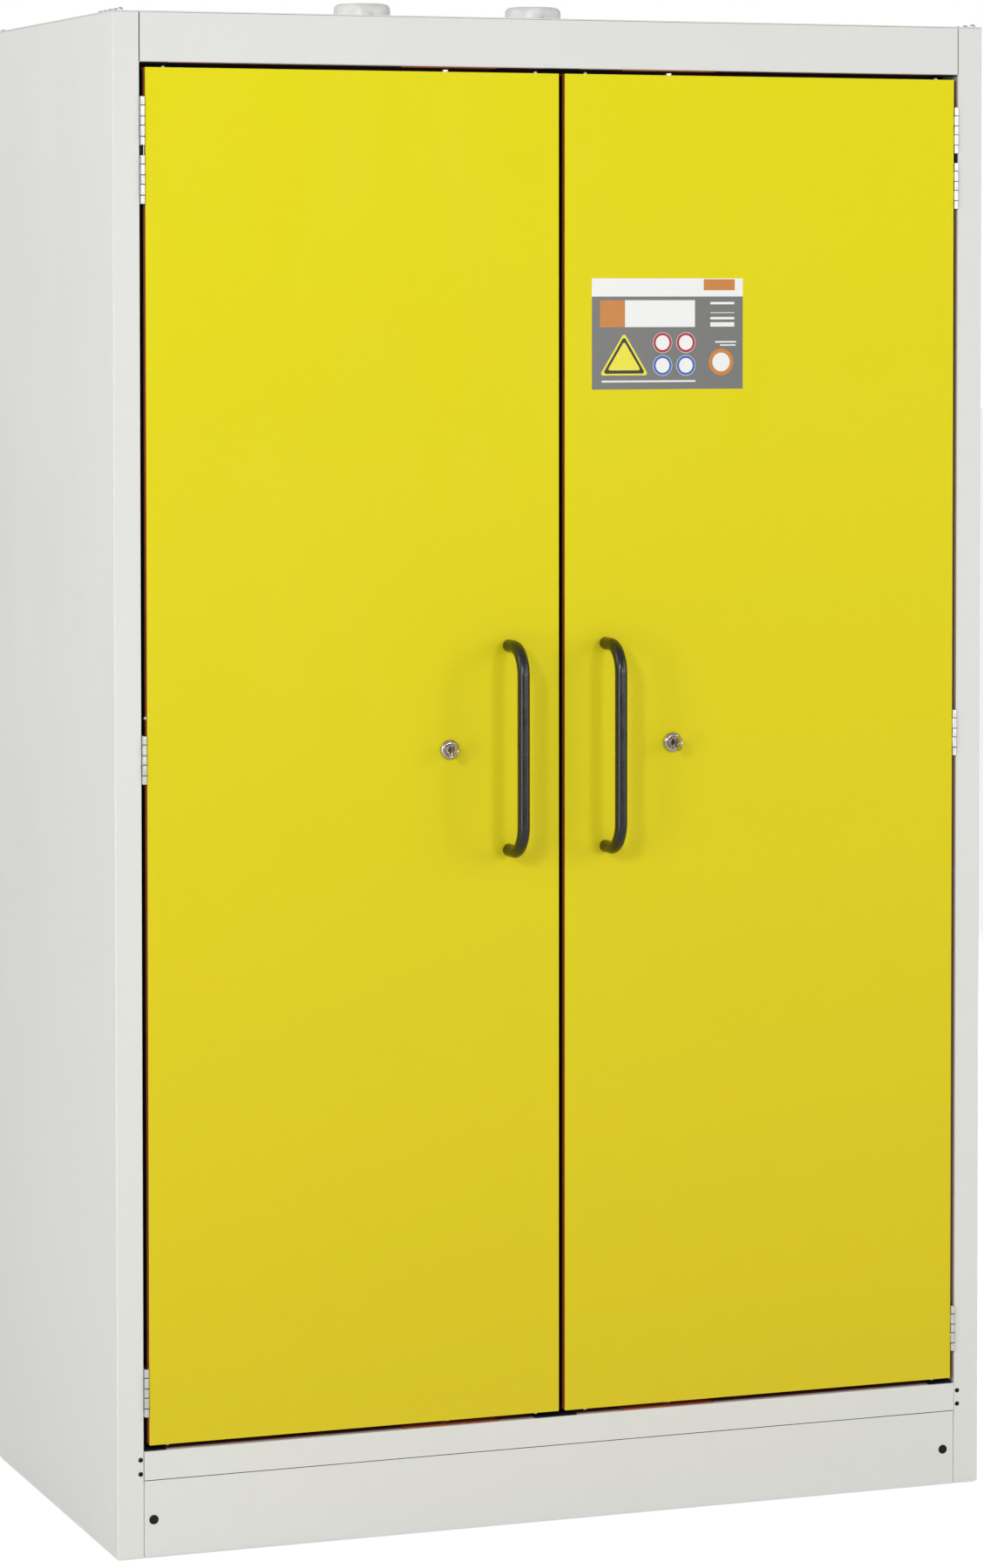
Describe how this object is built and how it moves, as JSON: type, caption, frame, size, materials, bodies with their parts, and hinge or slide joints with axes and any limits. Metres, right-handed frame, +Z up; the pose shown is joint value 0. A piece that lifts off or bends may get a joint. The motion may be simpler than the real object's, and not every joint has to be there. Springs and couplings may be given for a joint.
{
  "type": "flammable storage cabinet",
  "caption": "Tall free-standing two-door fire-insulated cabinet for flammable liquids, with bar handles, key locks with locking rods, shelves, a floor sump and roof vent caps.",
  "frame": {"origin": "on the floor, in the middle of the whole object's box, the handles in front included", "axes": "+Z up, -Y out of the doors' front, +X to the right of a viewer in front"},
  "size_m": [1.195, 0.6666, 1.989],
  "materials": {
    "light_grey_paint": "satin",
    "yellow_paint": "satin",
    "red_brown_board": "matte",
    "white_board": "matte",
    "black_coat": "satin",
    "bright_zinc": "satin",
    "nickel": "polished",
    "black_rubber": "matte",
    "white_plastic": "satin"
  },
  "bodies": {
    "root": {"base_frame": "black_coat", "door_seal": "black_rubber", "exhaust_duct": "light_grey_paint", "floor_insulation": "white_board", "header_fascia": "light_grey_paint", "left_bottom_hinge_frame_leaf": "bright_zinc", "left_front_shelf_upright": "bright_zinc", "left_lower_strike": "red_brown_board", "left_middle_hinge_frame_leaf": "bright_zinc", "left_rear_shelf_upright": "bright_zinc", "left_side_insulation": "white_board", "left_side_panel": "light_grey_paint", "left_top_hinge_frame_leaf": "bright_zinc", "left_upper_strike": "red_brown_board", "left_vent_cap": "white_plastic", "lower_shelf": "light_grey_paint", "middle_shelf": "light_grey_paint", "plinth_cover": "light_grey_paint", "rear_insulation": "white_board", "rear_panel": "light_grey_paint", "right_bottom_hinge_frame_leaf": "bright_zinc", "right_front_shelf_upright": "bright_zinc", "right_lower_strike": "red_brown_board", "right_middle_hinge_frame_leaf": "bright_zinc", "right_rear_shelf_upright": "bright_zinc", "right_side_insulation": "white_board", "right_side_panel": "light_grey_paint", "right_top_hinge_frame_leaf": "bright_zinc", "right_upper_strike": "red_brown_board", "right_vent_cap": "white_plastic", "roof_insulation": "white_board", "roof_panel": "light_grey_paint", "sill_rail": "light_grey_paint", "sump_insert": "bright_zinc", "sump_tray": "light_grey_paint", "upper_shelf": "light_grey_paint"},
    "left_door": {"left_door_skin": "yellow_paint", "left_door_core": "red_brown_board", "left_handle": "black_coat", "left_lock_case": "nickel", "left_top_hinge_door_leaf": "bright_zinc", "left_middle_hinge_door_leaf": "bright_zinc", "left_bottom_hinge_door_leaf": "bright_zinc"},
    "left_key": {"left_lock_key": "nickel"},
    "left_upper_rod": {"left_upper_locking_rod": "bright_zinc"},
    "left_lower_rod": {"left_lower_locking_rod": "bright_zinc"},
    "right_door": {"right_door_skin": "yellow_paint", "right_door_core": "red_brown_board", "right_handle": "black_coat", "right_lock_case": "nickel", "right_top_hinge_door_leaf": "bright_zinc", "right_middle_hinge_door_leaf": "bright_zinc", "right_bottom_hinge_door_leaf": "bright_zinc"},
    "right_key": {"right_lock_key": "nickel"},
    "right_upper_rod": {"right_upper_locking_rod": "bright_zinc"},
    "right_lower_rod": {"right_lower_locking_rod": "bright_zinc"},
    "left_front_foot_body": {"left_front_foot": "bright_zinc"},
    "left_rear_foot_body": {"left_rear_foot": "bright_zinc"},
    "right_front_foot_body": {"right_front_foot": "bright_zinc"},
    "right_rear_foot_body": {"right_rear_foot": "bright_zinc"}
  },
  "joints": [
    {"name": "left_door_swing", "type": "hinge", "parent": "root", "child": "left_door", "pos_m": [-0.5592, -0.2687, 1.0117], "axis": [0, 0, -1], "range_deg": [0, 110]},
    {"name": "left_key_turn", "type": "hinge", "parent": "left_door", "child": "left_key", "pos_m": [-0.154, -0.2667, 1.0115], "axis": [0, -1, 0], "range_deg": [0, 90]},
    {"name": "left_upper_rod_slide", "type": "slide", "parent": "left_door", "child": "left_upper_rod", "axis": [0, 0, 1], "range_m": [0, 0.015]},
    {"name": "left_lower_rod_slide", "type": "slide", "parent": "left_door", "child": "left_lower_rod", "axis": [0, 0, -1], "range_m": [0, 0.0151]},
    {"name": "right_door_swing", "type": "hinge", "parent": "root", "child": "right_door", "pos_m": [0.5592, -0.2687, 1.0117], "axis": [0, 0, 1], "range_deg": [0, 110]},
    {"name": "right_key_turn", "type": "hinge", "parent": "right_door", "child": "right_key", "pos_m": [0.154, -0.2667, 1.0115], "axis": [0, -1, 0], "range_deg": [0, 90]},
    {"name": "right_upper_rod_slide", "type": "slide", "parent": "right_door", "child": "right_upper_rod", "axis": [0, 0, 1], "range_m": [0, 0.015]},
    {"name": "right_lower_rod_slide", "type": "slide", "parent": "right_door", "child": "right_lower_rod", "axis": [0, 0, -1], "range_m": [0, 0.0151]},
    {"name": "left_front_foot_screw", "type": "slide", "parent": "root", "child": "left_front_foot_body", "axis": [0, 0, -1], "range_m": [0, 0.025]},
    {"name": "left_rear_foot_screw", "type": "slide", "parent": "root", "child": "left_rear_foot_body", "axis": [0, 0, -1], "range_m": [0, 0.025]},
    {"name": "right_front_foot_screw", "type": "slide", "parent": "root", "child": "right_front_foot_body", "axis": [0, 0, -1], "range_m": [0, 0.025]},
    {"name": "right_rear_foot_screw", "type": "slide", "parent": "root", "child": "right_rear_foot_body", "axis": [0, 0, -1], "range_m": [0, 0.025]}
  ],
  "couplings": [
    {"joint": "left_lower_rod_slide", "follows": "left_upper_rod_slide", "ratio": 1},
    {"joint": "left_key_turn", "follows": "left_upper_rod_slide", "rad_per_m": 104.72},
    {"joint": "right_lower_rod_slide", "follows": "right_upper_rod_slide", "ratio": 1},
    {"joint": "right_key_turn", "follows": "right_upper_rod_slide", "rad_per_m": 104.72}
  ]
}
